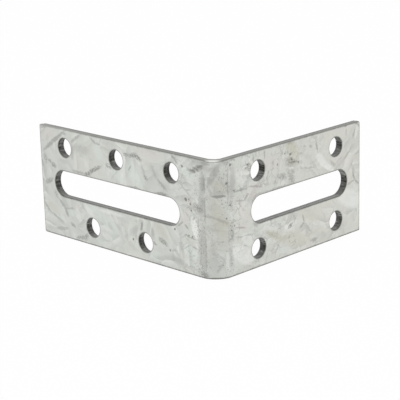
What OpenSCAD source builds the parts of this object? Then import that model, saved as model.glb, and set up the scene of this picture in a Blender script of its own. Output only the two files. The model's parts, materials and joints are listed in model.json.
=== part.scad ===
// Adjustable angle bracket: one strip of galvanised sheet, punched flat and then
// folded once to a right angle. The long leg has staggered screw holes, the short
// leg has a hole near each corner, and each leg has a slot for a bolt that can slide.
//
// The bend stands upright and the strip stands on its lower edge. The heel is the
// line where the planes of the two outer faces meet. The long leg runs from the heel
// along -X and the short leg along +Y. The origin is in the middle of the footprint.

/* [Sheet] */
// Thickness of the sheet
sheet_t = 2; // [1.2:0.1:3]
// Width of the strip, which is the height of the bracket as it stands
strip_w = 30; // [26:1:50]
// Radius on the inside of the bend
bend_inner_r = 2.5; // [1:0.25:5]
// Radius that shearing and punching roll onto the edges of the outer face
rim_r = 0.2; // [0.1:0.05:0.5]

/* [Legs] */
// Length of the long leg, from the heel to its end
long_leg = 65; // [55:1:120]
// Length of the short leg, from the heel to its end
short_leg = 55; // [45:1:100]
// Radius of the two corners that the cut-off tool rounds, one at each end of the strip
corner_r = 0.5; // [0.3:0.1:2]

/* [Screw holes] */
// Diameter of each screw hole
hole_d = 5; // [3:0.1:7]
// Distance from a long edge of the strip to its row of holes
hole_edge = 5; // [4.5:0.25:6.5]
// Distance from the heel to the first hole of a full row
hole_start = 15; // [11:0.5:18]
// Distance from the last hole of a full row to the end of the leg
hole_end = 10; // [6:0.5:14]
// Holes in the full upper row of the long leg, with one fewer staggered below
long_row_holes = 3; // [2:1:4]
// Holes in each row of the short leg
short_row_holes = 2; // [2:1:4]

/* [Slots] */
// Width of each slot
slot_w = 7; // [4:0.25:9]
// Distance from the heel to the centre of the slot's near end
slot_start = 16; // [12:0.5:20]
// Distance from the centre of the slot's far end to the end of the leg
slot_end = 9; // [6:0.5:16]

/* [Hidden] */
$fn = 96;
// How far a cutter reaches past the face that it cuts
over = 0.5;
// A quarter turn: the angle of the fold
fold_angle = 90;
bend_outer_r = bend_inner_r + sheet_t;
strip_mid = strip_w / 2;
upper_row = strip_w - hole_edge;
lower_row = hole_edge;
long_row = [hole_start, long_leg - hole_end];
short_row = [hole_start, short_leg - hole_end];
long_pitch = (long_row[1] - long_row[0]) / (long_row_holes - 1);
staggered_row = [long_row[0] + long_pitch / 2, long_row[1] - long_pitch / 2];

// A leg is drawn flat: X runs along it from the heel, Y across the strip from its
// lower edge, and Z from the outer face into the sheet.
module on_long_leg() {
    rotate([90, 0, 180]) children();
}

module on_short_leg() {
    mirror([1, 1, 0]) on_long_leg() children();
}

// What the rolled rim takes off a sharp edge that lies on the origin
module rim_spandrel() {
    difference() {
        translate([-over, -over]) square(rim_r + over);
        translate([rim_r, rim_r]) circle(r = rim_r);
    }
}

// Section of the strip: X across its width, Y from the outer face inwards
module strip_section() {
    difference() {
        square([strip_w, sheet_t]);
        rim_spandrel();
        translate([strip_w, 0]) mirror([1, 0]) rim_spandrel();
    }
}

// Cutter for a rounded corner at the origin, with the sheet on its -X and +Y side
module round_corner_cut() {
    difference() {
        translate([-corner_r, -over, -over]) cube([corner_r + over, corner_r + over, sheet_t + 2 * over]);
        translate([-corner_r, corner_r, 0]) rotate_extrude() difference() {
            translate([0, -2 * over]) square([corner_r, sheet_t + 4 * over]);
            translate([corner_r, 0]) mirror([1, 0]) rim_spandrel();
        }
    }
}

// The flat part of a leg, from the end of the bend to the leg's own end, with one
// rounded corner at the height round_at: the bottom or the top of the strip
module leg_strip(leg_length, round_at) {
    difference() {
        translate([bend_outer_r, 0, 0]) rotate([90, 0, 90])
            linear_extrude(leg_length - bend_outer_r) strip_section();
        translate([leg_length, -over, 0]) mirror([1, 0, 0]) rotate([90, 0, 0]) mirror([0, 0, 1])
            linear_extrude(strip_w + 2 * over) rim_spandrel();
        translate([leg_length, round_at, 0]) mirror([0, round_at > 0 ? 1 : 0, 0]) round_corner_cut();
    }
}

// The quarter-round bend between the two legs
module bend() {
    translate([-bend_outer_r, bend_outer_r, 0]) rotate(-fold_angle) rotate_extrude(angle = fold_angle)
        translate([bend_outer_r, 0]) rotate(90) strip_section();
}

// Cutter for a punched round hole, with its rolled rim at the outer face
module punched_hole() {
    translate([0, 0, -over]) cylinder(d = hole_d, h = sheet_t + 2 * over);
    rotate_extrude() translate([hole_d / 2, 0]) rim_spandrel();
}

// One rounded end of a slot, open towards -X
module slot_end_cut() {
    translate([0, 0, -over]) cylinder(d = slot_w, h = sheet_t + 2 * over);
    rotate(-90) rotate_extrude(angle = 180) translate([slot_w / 2, 0]) rim_spandrel();
}

// Cutter for a punched slot whose end centres lie a travel apart along X
module punched_slot(travel) {
    translate([travel, 0, 0]) slot_end_cut();
    mirror([1, 0, 0]) slot_end_cut();
    translate([0, -slot_w / 2, -over]) cube([travel, slot_w, sheet_t + 2 * over]);
    for (side = [0, 1])
        mirror([0, side, 0]) translate([0, slot_w / 2, 0]) rotate([90, 0, 90])
            linear_extrude(travel) rim_spandrel();
}

// A row of holes spread evenly over span, at one height on the strip
module hole_row(span, count, height) {
    pitch = count > 1 ? (span[1] - span[0]) / (count - 1) : 0;
    for (i = [0 : count - 1])
        translate([span[0] + i * pitch, height, 0]) punched_hole();
}

module long_leg_cuts() {
    hole_row(long_row, long_row_holes, upper_row);
    hole_row(staggered_row, long_row_holes - 1, lower_row);
    translate([slot_start, strip_mid, 0]) punched_slot(long_leg - slot_end - slot_start);
}

module short_leg_cuts() {
    for (row = [lower_row, upper_row])
        hole_row(short_row, short_row_holes, row);
    translate([slot_start, strip_mid, 0]) punched_slot(short_leg - slot_end - slot_start);
}

module angle_bracket() {
    color("gainsboro") translate([long_leg / 2, -short_leg / 2, 0])
        difference() {
            union() {
                on_long_leg() leg_strip(long_leg, 0);
                bend();
                on_short_leg() leg_strip(short_leg, strip_w);
            }
            on_long_leg() long_leg_cuts();
            on_short_leg() short_leg_cuts();
        }
}

angle_bracket();
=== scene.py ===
# %% [markdown]
# # An adjustable angle bracket in galvanised sheet
#
# The bracket is one strip of zinc-coated steel. A press punches its holes and slots while the strip is
# flat and then folds it once to a right angle. This lesson makes it in the same order: a flat blank is
# punched, folded, and finished as the real one is, with spangled zinc on the faces and bare grey steel on
# the cut edges. Everything is placed from the measured part that is loaded first.

# %% Load the measured part
import json
import math
from collections import namedtuple

import bmesh
import bpy
from mathutils import Matrix, Vector
from mathutils.geometry import delaunay_2d_cdt


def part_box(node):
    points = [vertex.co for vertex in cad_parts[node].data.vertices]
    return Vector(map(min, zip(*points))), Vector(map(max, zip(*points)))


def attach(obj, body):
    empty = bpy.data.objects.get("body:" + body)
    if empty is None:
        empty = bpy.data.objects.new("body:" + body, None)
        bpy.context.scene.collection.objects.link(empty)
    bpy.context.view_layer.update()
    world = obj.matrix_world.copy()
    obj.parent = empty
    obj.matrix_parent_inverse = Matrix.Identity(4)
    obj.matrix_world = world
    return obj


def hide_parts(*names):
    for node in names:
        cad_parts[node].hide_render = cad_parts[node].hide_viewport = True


MM = 0.001

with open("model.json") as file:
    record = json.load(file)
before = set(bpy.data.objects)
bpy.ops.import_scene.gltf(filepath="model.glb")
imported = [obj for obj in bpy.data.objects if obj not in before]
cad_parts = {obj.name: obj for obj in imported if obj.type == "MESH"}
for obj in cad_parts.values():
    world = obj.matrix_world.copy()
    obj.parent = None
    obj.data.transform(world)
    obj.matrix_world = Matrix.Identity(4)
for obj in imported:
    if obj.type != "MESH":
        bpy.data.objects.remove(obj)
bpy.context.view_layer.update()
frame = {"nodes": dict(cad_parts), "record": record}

# %% [markdown]
# ## Sizes
#
# A second set of sizes typed in here could drift away from the measured part, so they are read from it.
# The record's mounts say where each hole and slot is. The radius of the bend, the rolled rim of the outer
# face and the rounded corner aren't in the record, so they are measured on the part's own points: each is
# the distance from a corner of the box to where a flat face begins.

# %% Read the sizes
TOUCH = 1e-6

mounts = {mount["name"]: mount for mount in frame["record"]["mounts"]}
low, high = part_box("angle_bracket")
part_points = [vertex.co for vertex in frame["nodes"]["angle_bracket"].data.vertices]
face_points = [point for point in part_points if point.y - low.y < TOUCH]

heel_x = high.x
heel_y = low.y
long_leg = high.x - low.x
short_leg = high.y - low.y
strip_w = high.z - low.z
sheet_t = 2 * (mounts["long_leg_upper_holes"]["pos_m"][1] - mounts["long_leg_face"]["pos_m"][1])
bend_r = heel_x - max(point.x for point in face_points)
rim_r = high.z - max(point.z for point in face_points)
corner_r = min(point.z for point in part_points if point.x - low.x < TOUCH) - low.z
print("Sheet, bend, rim and corner, in mm:",
      [round(size / MM, 2) for size in (sheet_t, bend_r, rim_r, corner_r)])

# %% [markdown]
# ## The flat strip
#
# Places on the blank are given as the toolmaker would give them: along the strip from the middle of the
# bend, and up from its lower edge. The long leg lies on the minus side and the short leg on the plus side.
# Along the bend the outer skin is measured, because that is the side that shows. Each opening also has its
# own tear, which is how far its wall widens towards the inner face: a worn punch tears more.

# %% Measure along the strip
bend_half = bend_r * math.pi / 4
strip_start = -(bend_half + long_leg - bend_r)
strip_end = bend_half + short_leg - bend_r


def along_strip(place):
    """How far along the strip a point of either leg lies."""
    from_heel_long = heel_x - place[0]
    from_heel_short = place[1] - heel_y
    if from_heel_long > from_heel_short:
        return -(bend_half + from_heel_long - bend_r)
    return bend_half + from_heel_short - bend_r


Opening = namedtuple("Opening", "along up travel radius tear")
USUAL_TEAR = 0.14 * MM
TEARS = {
    "long_leg_lower_holes": 0.30 * MM,
    "short_leg_holes": 0.09 * MM,
    "short_leg_slot": 0.09 * MM,
}


def openings_of(mount):
    """The holes, or the one slot, that a mount stands for."""
    size = mount["dims"]
    along = along_strip(mount["pos_m"])
    up = mount["pos_m"][2]
    radius = size["hole_r_mm"] * MM
    tear = TEARS.get(mount["name"], USUAL_TEAR)
    if "slot_length_mm" in size:
        return [Opening(along, up, size["slot_length_mm"] * MM - 2 * radius, radius, tear)]
    sideways = size.get("spacing_x_mm", 0) * MM / 2
    upward = size.get("spacing_y_mm", 0) * MM / 2
    places = {(along + i * sideways, up + j * upward) for i in (-1, 1) for j in (-1, 1)}
    return [Opening(*place, 0.0, radius, tear) for place in sorted(places)]


punched_mounts = [mount for mount in mounts.values() if "hole_r_mm" in mount["dims"]]
openings = [opening for mount in punched_mounts for opening in openings_of(mount)]
print("Flat strip, in mm:", round((strip_end - strip_start) / MM, 2), "long, with", len(openings), "openings")

# %% [markdown]
# ## Outlines
#
# A boolean could cut the holes, but it leaves long slivers and no control over the edge. Here each outline
# is drawn as a ring of points by a function that can also move it back into the metal. The strip has two
# sharp corners and two that the cut-off tool has rounded, and it rolls those most at the outer face.

# %% Draw the outlines
GRID = 1.0 * MM
BEND_GRID = 0.25 * MM
ARC_STEPS = 32
CORNER_STEPS = 8
SHARP_CORNER_R = 0.25 * MM
CORNER_R_AT_FACE = 1.3 * corner_r
CORNER_R_AT_BACK = 0.5 * corner_r
CORNER_CLEAR = CORNER_R_AT_FACE + 0.25 * GRID
ROLL_DEPTH = 0.4 * MM
LEAST_R = 0.02 * MM
QUARTER = math.pi / 2


def spread(start, end, step):
    """Even steps from start to end, both included, as near to the wanted step as they can be."""
    count = max(1, round((end - start) / step))
    return [start + (end - start) * i / count for i in range(count + 1)]


def arc(centre, radius, start, sweep, steps):
    """Points along an arc, both ends included."""
    turns = [start + sweep * i / steps for i in range(steps + 1)]
    return [(centre[0] + radius * math.cos(turn), centre[1] + radius * math.sin(turn)) for turn in turns]


def opening_outline(opening, back):
    """A hole or slot, with its wall moved back into the metal."""
    radius = opening.radius + back
    reach = opening.travel / 2
    right = arc((opening.along + reach, opening.up), radius, -QUARTER, 2 * QUARTER, ARC_STEPS)
    left = arc((opening.along - reach, opening.up), radius, QUARTER, 2 * QUARTER, ARC_STEPS)
    if not opening.travel:
        return right[:-1] + left[:-1]
    side = spread(opening.along - reach, opening.along + reach, GRID)[1:-1]
    upper = [(along, opening.up + radius) for along in reversed(side)]
    lower = [(along, opening.up - radius) for along in side]
    return right + upper + left + lower


stations = spread(strip_start, -bend_half, GRID)[:-1]
stations += spread(-bend_half, bend_half, BEND_GRID)
stations += spread(bend_half, strip_end, GRID)[1:]
levels = spread(0, strip_w, GRID)[1:-1]


def strip_outline(back, depth):
    """The strip's own edge at one depth, moved back into the metal."""
    left, right, bottom, top = strip_start + back, strip_end - back, back, strip_w - back
    rolled = math.exp(-depth / ROLL_DEPTH)
    rolled_r = CORNER_R_AT_BACK + (CORNER_R_AT_FACE - CORNER_R_AT_BACK) * rolled
    round_r = max(rolled_r - back, LEAST_R)
    sharp_r = max(SHARP_CORNER_R - back, LEAST_R)
    run = [along for along in stations if strip_start + CORNER_CLEAR < along < strip_end - CORNER_CLEAR]
    rise = [up for up in levels if CORNER_CLEAR < up < strip_w - CORNER_CLEAR]
    lower_right = arc((right - sharp_r, bottom + sharp_r), sharp_r, -QUARTER, QUARTER, CORNER_STEPS)
    upper_right = arc((right - round_r, top - round_r), round_r, 0, QUARTER, CORNER_STEPS)
    upper_left = arc((left + sharp_r, top - sharp_r), sharp_r, QUARTER, QUARTER, CORNER_STEPS)
    lower_left = arc((left + round_r, bottom + round_r), round_r, 2 * QUARTER, QUARTER, CORNER_STEPS)
    outline = [(along, bottom) for along in run] + lower_right
    outline += [(right, up) for up in rise] + upper_right
    outline += [(along, top) for along in reversed(run)] + upper_left
    outline += [(left, up) for up in reversed(rise)] + lower_left
    return outline


print("Points round the strip:", len(strip_outline(0, 0)))

# %% [markdown]
# ## Walls
#
# A punch or a shear first rolls the edge over, then cuts a smooth band and at last tears through the rest.
# A bevel modifier could round the rim, but it would round the inner edge as well. Rings of one outline at
# several depths give the whole wall: a rolled rim at the outer face, a straight band, and a torn, slightly
# wider part. The zinc goes a short way over the rim, and below that the wall is bare steel.

# %% Punch the walls
RIM_STEPS = 5
LIP = 0.08 * MM
BARE_BELOW = 0.25 * rim_r
BURNISH = 0.45 * sheet_t
TEAR_DEPTH = 0.2 * MM
SLIT_TEAR = 0.12 * MM
ZINC, SLIT_EDGE, PUNCHED_WALL = 0, 1, 2


def wall_rows(torn_back):
    """How far back and how deep each ring of a wall lies: a rolled rim, a smooth band and a torn part."""
    turns = [QUARTER * i / RIM_STEPS for i in range(RIM_STEPS + 1)]
    rows = [(rim_r + LIP, 0.0)]
    rows += [(rim_r * (1 - math.sin(turn)), rim_r * (1 - math.cos(turn))) for turn in turns]
    return rows + [(0.0, BURNISH), (torn_back / 2, BURNISH + TEAR_DEPTH), (torn_back, sheet_t)]


blank = bmesh.new()


def build_wall(outlines, rows, finish):
    """Joins each outline of a wall to the next and returns the two end rings, which the faces will meet."""
    rings = [[blank.verts.new((*point, depth)) for point in outline]
             for outline, (back, depth) in zip(outlines, rows)]
    for upper, lower, (back, depth) in zip(rings, rings[1:], rows[1:]):
        for i in range(len(upper)):
            wall = blank.faces.new((upper[i - 1], upper[i], lower[i], lower[i - 1]))
            wall.material_index = finish if depth > BARE_BELOW else ZINC
    return rings[0], rings[-1]


slit_rows = wall_rows(SLIT_TEAR)
walls = [build_wall([strip_outline(*row) for row in slit_rows], slit_rows, SLIT_EDGE)]
for opening in openings:
    punched_rows = wall_rows(opening.tear)
    outlines = [opening_outline(opening, back) for back, depth in punched_rows]
    walls.append(build_wall(outlines, punched_rows, PUNCHED_WALL))
print("Walls:", len(walls), "with", len(blank.faces), "faces")

# %% [markdown]
# ## The two faces
#
# A face with holes has no natural grid, and a plain fill would join far corners with long thin triangles
# that shade badly once the sheet is bent. A Delaunay triangulation joins the rings of the walls to a grid
# of points inside, so the triangles stay small and even, and the columns of the grid lie close together
# where the sheet is going to bend. Triangles that fall inside a hole are left out.

# %% Fill the faces
CLEAR = 0.35 * MM
FILL_TRIANGLES_INSIDE = 1
FILL_TOLERANCE = 1e-8
STRIP_RING = 0


def metal_around(along, up):
    """Distance from a point of the strip to the nearest edge, hole or slot."""
    distances = [along - strip_start, strip_end - along, up, strip_w - up]
    for opening in openings:
        past = max(abs(along - opening.along) - opening.travel / 2, 0)
        distances.append(math.hypot(past, up - opening.up) - opening.radius)
    return min(distances)


def fill_face(rings, back, depth):
    """Fills between the strip's ring, which comes first, and the rings of the openings."""
    points = [vertex for ring in rings for vertex in ring]
    owner = [number for number, ring in enumerate(rings) for vertex in ring]
    edges = []
    for ring in rings:
        first = len(edges)
        edges += [(first + i, first + (i + 1) % len(ring)) for i in range(len(ring))]
    grid = [(along, up) for along in stations for up in levels if metal_around(along, up) > back + CLEAR]
    points += [blank.verts.new((*place, depth)) for place in grid]
    owner += [STRIP_RING] * len(grid)
    flat = [point.co.xy for point in points]
    filled = delaunay_2d_cdt(flat, edges, [], FILL_TRIANGLES_INSIDE, FILL_TOLERANCE)
    _, _, triangles, sources, _, _ = filled
    for triangle in triangles:
        corners = [sources[i][0] for i in triangle]
        owners = {owner[corner] for corner in corners}
        if len(owners) > 1 or STRIP_RING in owners:
            blank.faces.new([points[corner] for corner in corners]).material_index = ZINC


fill_face([wall[0] for wall in walls], rim_r + LIP, 0.0)
fill_face([wall[1] for wall in walls], max(opening.tear for opening in openings), sheet_t)
print("Flat blank:", len(blank.verts), "points and", len(blank.faces), "faces")

# %% [markdown]
# ## The fold
#
# A bend modifier would work from the object's centre and stretch the legs, so the fold is written out: a
# point keeps its place along the strip, and within the bend that place becomes an angle. The outer skin of
# a real bend is stretched, so it also draws in a little from the strip's two long edges, which leaves the
# soft, shiny rim at the top of the bend. Each point first notes where it lay on the flat strip, so that
# the zinc's pattern can run round the bend without a break, as it did on the sheet. It also notes how far
# it lay from the nearest edge, where grime will gather.

# %% Fold the blank
UPPER_PULL = 0.30 * MM
LOWER_PULL = 0.16 * MM
PULL_REACH = 1.3 * bend_half
PULL_WIDTH = 0.9 * MM
PULL_DEPTH = 0.7 * MM
SMOOTH_BELOW = math.radians(35)


def folded(flat):
    """Where a point of the flat strip comes to lie."""
    along, up, depth = flat
    in_bend = min(max(along, -bend_half), bend_half)
    turn = (in_bend + bend_half) / bend_r
    past_bend = along - in_bend
    radius = bend_r - depth
    x = heel_x - bend_r + radius * math.sin(turn) + min(past_bend, 0)
    y = heel_y + bend_r - radius * math.cos(turn) + max(past_bend, 0)
    return Vector((x, y, up))


def drawn_in(flat):
    """How far the stretched skin of the bend draws in from the strip's two long edges."""
    along, up, depth = flat
    in_bend = max(1 - (along / PULL_REACH) ** 2, 0) ** 2
    down = UPPER_PULL * math.exp(-(strip_w - up) / PULL_WIDTH)
    rise = LOWER_PULL * math.exp(-up / PULL_WIDTH)
    return Vector((0, 0, (rise - down) * in_bend * math.exp(-depth / PULL_DEPTH)))


flat_places = [vertex.co.copy() for vertex in blank.verts]
for vertex, flat in zip(blank.verts, flat_places):
    vertex.co = folded(flat) + drawn_in(flat)
bmesh.ops.recalc_face_normals(blank, faces=blank.faces)

sheet_mesh = bpy.data.meshes.new("folded_sheet")
blank.to_mesh(sheet_mesh)
blank.free()
strip_places = sheet_mesh.attributes.new("flat_strip", "FLOAT_VECTOR", "POINT")
strip_places.data.foreach_set("vector", [value for flat in flat_places for value in flat])
edge_distances = sheet_mesh.attributes.new("from_edge", "FLOAT", "POINT")
edge_distances.data.foreach_set("value", [metal_around(flat.x, flat.y) for flat in flat_places])
sheet_mesh.polygons.foreach_set("use_smooth", [True] * len(sheet_mesh.polygons))
sheet_mesh.set_sharp_from_angle(angle=SMOOTH_BELOW)

bracket = bpy.data.objects.new("folded_sheet", sheet_mesh)
bpy.context.scene.collection.objects.link(bracket)
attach(bracket, "root")
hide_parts("angle_bracket")
print("Folded sheet:", len(sheet_mesh.vertices), "points")

# %% [markdown]
# ## Writing a finish as sums
#
# A finish is a graph of nodes, and most of them only add, multiply or compare. The class below wraps one
# output of a node, so that `1 - mask * 0.5` in Python adds the Math nodes for it. Colours and directions
# can't go through Math nodes, which would turn them grey, so they have methods that use Mix and Vector
# Math. Every other node comes from the one method `node`. A colour is built as a stack of layers, each
# with a tint, a wire that says where it shows, and a share that says how strongly.

# %% A wire between nodes
MIX_SHARE = 0
MIX_FIRST_COLOUR = 6
MIX_SECOND_COLOUR = 7
MIXED_COLOUR = 2


class Wire:
    """One output of a node in a finish."""

    def __init__(self, tree, socket=None):
        self.tree = tree
        self.socket = socket

    def node(self, kind, settings=None, sockets=None, out=0):
        """Adds any node: its settings first, then the values or wires of its sockets."""
        made = self.tree.nodes.new(kind)
        for name, value in (settings or {}).items():
            setattr(made, name, value)
        for name, value in (sockets or {}).items():
            if isinstance(value, Wire):
                self.tree.links.new(value.socket, made.inputs[name])
            else:
                made.inputs[name].default_value = value
        return Wire(self.tree, made.outputs[out])

    def sums(self, operation, *values):
        return self.node("ShaderNodeMath", {"operation": operation}, dict(enumerate(values)))

    def __add__(self, other):
        return self.sums("ADD", self, other)

    def __sub__(self, other):
        return self.sums("SUBTRACT", self, other)

    def __rsub__(self, other):
        return self.sums("SUBTRACT", other, self)

    def __mul__(self, other):
        return self.sums("MULTIPLY", self, other)

    def __gt__(self, other):
        return self.sums("GREATER_THAN", self, other)

    __radd__ = __add__
    __rmul__ = __mul__

    def larger(self, other):
        return self.sums("MAXIMUM", self, other)

    def smaller(self, other):
        return self.sums("MINIMUM", self, other)

    def ramp(self, start, end):
        """Rises softly from 0 at start to 1 at end, or falls if end is the lower one."""
        sockets = {"Value": self, "From Min": start, "From Max": end}
        return self.node("ShaderNodeMapRange", {"interpolation_type": "SMOOTHSTEP"}, sockets)

    def distance(self, other):
        """How far apart two numbers are."""
        gap = self - other
        return gap.sums("ABSOLUTE", gap)

    def part(self, axis):
        return self.node("ShaderNodeSeparateXYZ", None, {"Vector": self}, out=axis)

    def vector(self, operation, other):
        return self.node("ShaderNodeVectorMath", {"operation": operation}, {0: self, 1: other})

    def blend(self, first, second):
        """Two colours mixed, with this wire as the share of the second one."""
        sockets = {MIX_SHARE: self, MIX_FIRST_COLOUR: first, MIX_SECOND_COLOUR: second}
        return self.node("ShaderNodeMix", {"data_type": "RGBA"}, sockets, out=MIXED_COLOUR)

    def bump(self, strength, distance):
        """The direction that a surface with this relief faces."""
        sockets = {"Strength": strength, "Distance": distance, "Height": self}
        return self.node("ShaderNodeBump", None, sockets, out="Normal")

    def noise(self, scale, detail=2.0, roughness=0.5, out="Fac"):
        sockets = {"Vector": self, "Scale": scale, "Detail": detail, "Roughness": roughness}
        return self.node("ShaderNodeTexNoise", None, sockets, out)

    def cells(self, scale, feature="F1", out="Color"):
        sockets = {"Vector": self, "Scale": scale}
        return self.node("ShaderNodeTexVoronoi", {"feature": feature}, sockets, out)


def new_finish(name):
    """An empty material, its surface shader and a first wire to start sums from."""
    material = bpy.data.materials.new(name)
    material.use_nodes = True
    shader = material.node_tree.nodes["Principled BSDF"]
    return material, shader, Wire(material.node_tree)


Layer = namedtuple("Layer", "tint cover share", defaults=[1.0])


def layered(base, layers):
    """A base colour with each layer blended over it in turn."""
    colour = base
    for tint, cover, share in layers:
        colour = (cover * share).blend(colour, tint)
    return colour


def weighted(total, weights):
    """A starting value plus a sum of wires, each with its own weight."""
    for wire, weight in weights:
        total = wire * weight + total
    return total


def feed(shader, **sockets):
    """Joins wires or values to the surface shader's sockets."""
    for name, value in sockets.items():
        socket = shader.inputs[name.replace("_", " ")]
        if isinstance(value, Wire):
            value.tree.links.new(value.socket, socket)
        else:
            socket.default_value = value


# %% [markdown]
# ## Marks on the outer face
#
# No two galvanised sheets are alike, and the eye knows one by its larger marks: the veins between the
# biggest crystals, smudges from handling, pits, pale leaves of clean zinc and stains. A painted texture
# could hold them, but a list can be read and changed. Each mark is one soft stroke between two points of
# the strip, in millimetres, with a width and a strength from 0 to 1. A pit has one point only. A stroke is
# a ball-shaped gradient that a Mapping node stretches along its line, so its shape costs two nodes and
# tapers at its ends as a drawn line does.

# %% List the marks
VEINS = [
    ((-63.4, 22.7), (-53.6, 29.7), 0.7, 0.45), ((-51.2, 27.0), (-47.8, 29.4), 0.6, 0.35),
    ((-43.8, 29.6), (-41.4, 28.0), 0.45, 0.35), ((-42.0, 28.2), (-39.9, 28.0), 0.4, 0.30),
    ((-63.8, 8.5), (-60.6, 5.7), 0.45, 0.35), ((-61.2, 6.3), (-55.4, 3.8), 0.4, 0.30),
    ((-59.4, 1.8), (-54.0, 2.8), 0.6, 0.28), ((-57.2, 10.4), (-54.8, 8.1), 0.6, 0.40),
    ((-55.2, 8.6), (-54.0, 6.3), 0.6, 0.40), ((-55.2, 8.2), (-51.2, 8.9), 0.3, 0.30),
    ((-49.8, 12.0), (-46.4, 8.8), 0.5, 0.18), ((-36.2, 19.6), (-33.0, 22.8), 0.4, 0.14),
    ((-29.4, 23.0), (-28.4, 24.4), 0.35, 0.40), ((-24.8, 25.8), (-23.0, 21.6), 0.45, 0.19),
    ((-32.0, 19.4), (-28.6, 23.4), 0.4, 0.04), ((-27.0, 24.8), (-23.6, 19.6), 0.4, 0.07),
    ((-21.2, 26.0), (-19.2, 22.6), 0.5, 0.20), ((-19.4, 22.9), (-15.4, 19.8), 0.4, 0.32),
    ((-13.8, 29.7), (-11.8, 27.7), 0.4, 0.45), ((-11.6, 23.3), (-7.2, 19.9), 0.35, 0.25),
    ((-25.6, 8.0), (-24.9, 10.4), 0.5, 0.55), ((-12.2, 11.8), (-10.3, 13.3), 0.35, 0.40),
    ((1.1, 29.3), (-1.9, 23.6), 1.0, 0.34), ((-1.7, 24.0), (-1.0, 21.0), 0.35, 0.18),
    ((-1.2, 21.2), (3.0, 21.0), 0.45, 0.62), ((-3.4, 16.2), (0.0, 15.7), 0.4, 0.26),
    ((-0.6, 15.9), (3.6, 13.8), 0.45, 0.28), ((1.5, 4.2), (0.0, 1.9), 0.5, 0.25),
    ((5.0, 21.4), (10.4, 21.3), 0.35, 0.42), ((10.4, 21.6), (15.2, 20.8), 0.35, 0.40),
    ((9.2, 18.8), (10.4, 19.7), 0.4, 0.46), ((5.6, 19.0), (9.4, 18.4), 0.3, 0.30),
    ((16.4, 9.0), (20.8, 6.0), 0.5, 0.12), ((36.0, 28.2), (36.8, 25.2), 0.4, 0.42),
    ((50.9, 24.8), (49.6, 22.6), 0.4, 0.14), ((49.8, 22.8), (47.2, 20.8), 0.4, 0.22),
    ((51.0, 17.0), (51.9, 14.4), 0.40, 0.48), ((29.5, 22.2), (36.0, 21.2), 0.3, 0.28),
    ((51.9, 14.5), (53.6, 13.1), 0.4, 0.36), ((31.8, 7.0), (33.9, 4.5), 0.4, 0.28),
    ((34.3, 2.1), (36.4, 2.0), 0.5, 0.34), ((30.7, 9.9), (31.3, 7.6), 0.35, 0.38),
    ((31.2, 7.6), (29.6, 6.5), 0.35, 0.38), ((41.0, 18.9), (47.0, 22.2), 0.4, 0.14),
    ((-2.8, 26.2), (-2.8, 21.6), 0.35, 0.40), ((-2.8, 20.8), (-2.75, 13.6), 0.3, 0.34),
    ((-2.75, 12.8), (-2.7, 0.4), 0.3, 0.30), ((3.3, 28.2), (3.3, 18.8), 0.28, 0.36),
    ((3.4, 13.8), (3.4, 8.2), 0.28, 0.28), ((51.8, 30.0), (53.0, 29.5), 0.40, 0.50),
    ((52.9, 29.6), (53.7, 28.6), 0.35, 0.40), ((52.0, 28.3), (51.0, 26.0), 0.40, 0.34),
    ((48.4, 28.8), (48.2, 27.2), 0.45, 0.20), ((-7.4, 19.0), (-7.9, 17.3), 0.30, 0.28),
    ((-6.2, 15.2), (-7.0, 14.2), 0.30, 0.38), ((-4.9, 14.6), (-5.0, 12.8), 0.25, 0.30),
    ((50.6, 19.0), (51.6, 16.8), 0.60, 0.24), ((25.7, 26.2), (27.0, 26.9), 0.30, 0.45),
    ((51.9, 14.5), (48.8, 13.8), 0.45, 0.32), ((25.6, 24.6), (28.6, 24.2), 0.35, 0.45),
    ((31.2, 27.8), (32.2, 27.4), 0.30, 0.28), ((33.6, 27.3), (34.4, 27.0), 0.40, 0.32),
    ((29.8, 26.2), (30.8, 25.9), 0.35, 0.28), ((-7.2, 26.9), (-5.6, 26.6), 0.35, 0.65),
    ((-5.2, 27.8), (-3.2, 28.5), 0.40, 0.65), ((-6.4, 27.7), (-4.8, 27.2), 0.35, 0.55),
    ((-9.8, 10.0), (-8.0, 9.6), 0.30, 0.50), ((-8.0, 9.7), (-6.4, 9.5), 0.30, 0.45),
    ((-9.6, 12.6), (-8.6, 11.6), 0.40, 0.42), ((-7.4, 7.6), (-5.2, 7.0), 0.30, 0.36),
    ((-9.4, 21.4), (-7.4, 21.8), 0.35, 0.32), ((5.4, 12.4), (9.6, 11.4), 0.30, 0.36),
    ((5.8, 9.9), (8.6, 9.3), 0.30, 0.30), ((8.6, 9.5), (11.6, 9.2), 0.30, 0.28),
    ((12.4, 29.4), (12.6, 27.6), 0.3, 0.36), ((16.5, 29.5), (16.6, 27.4), 0.3, 0.40),
]
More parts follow.
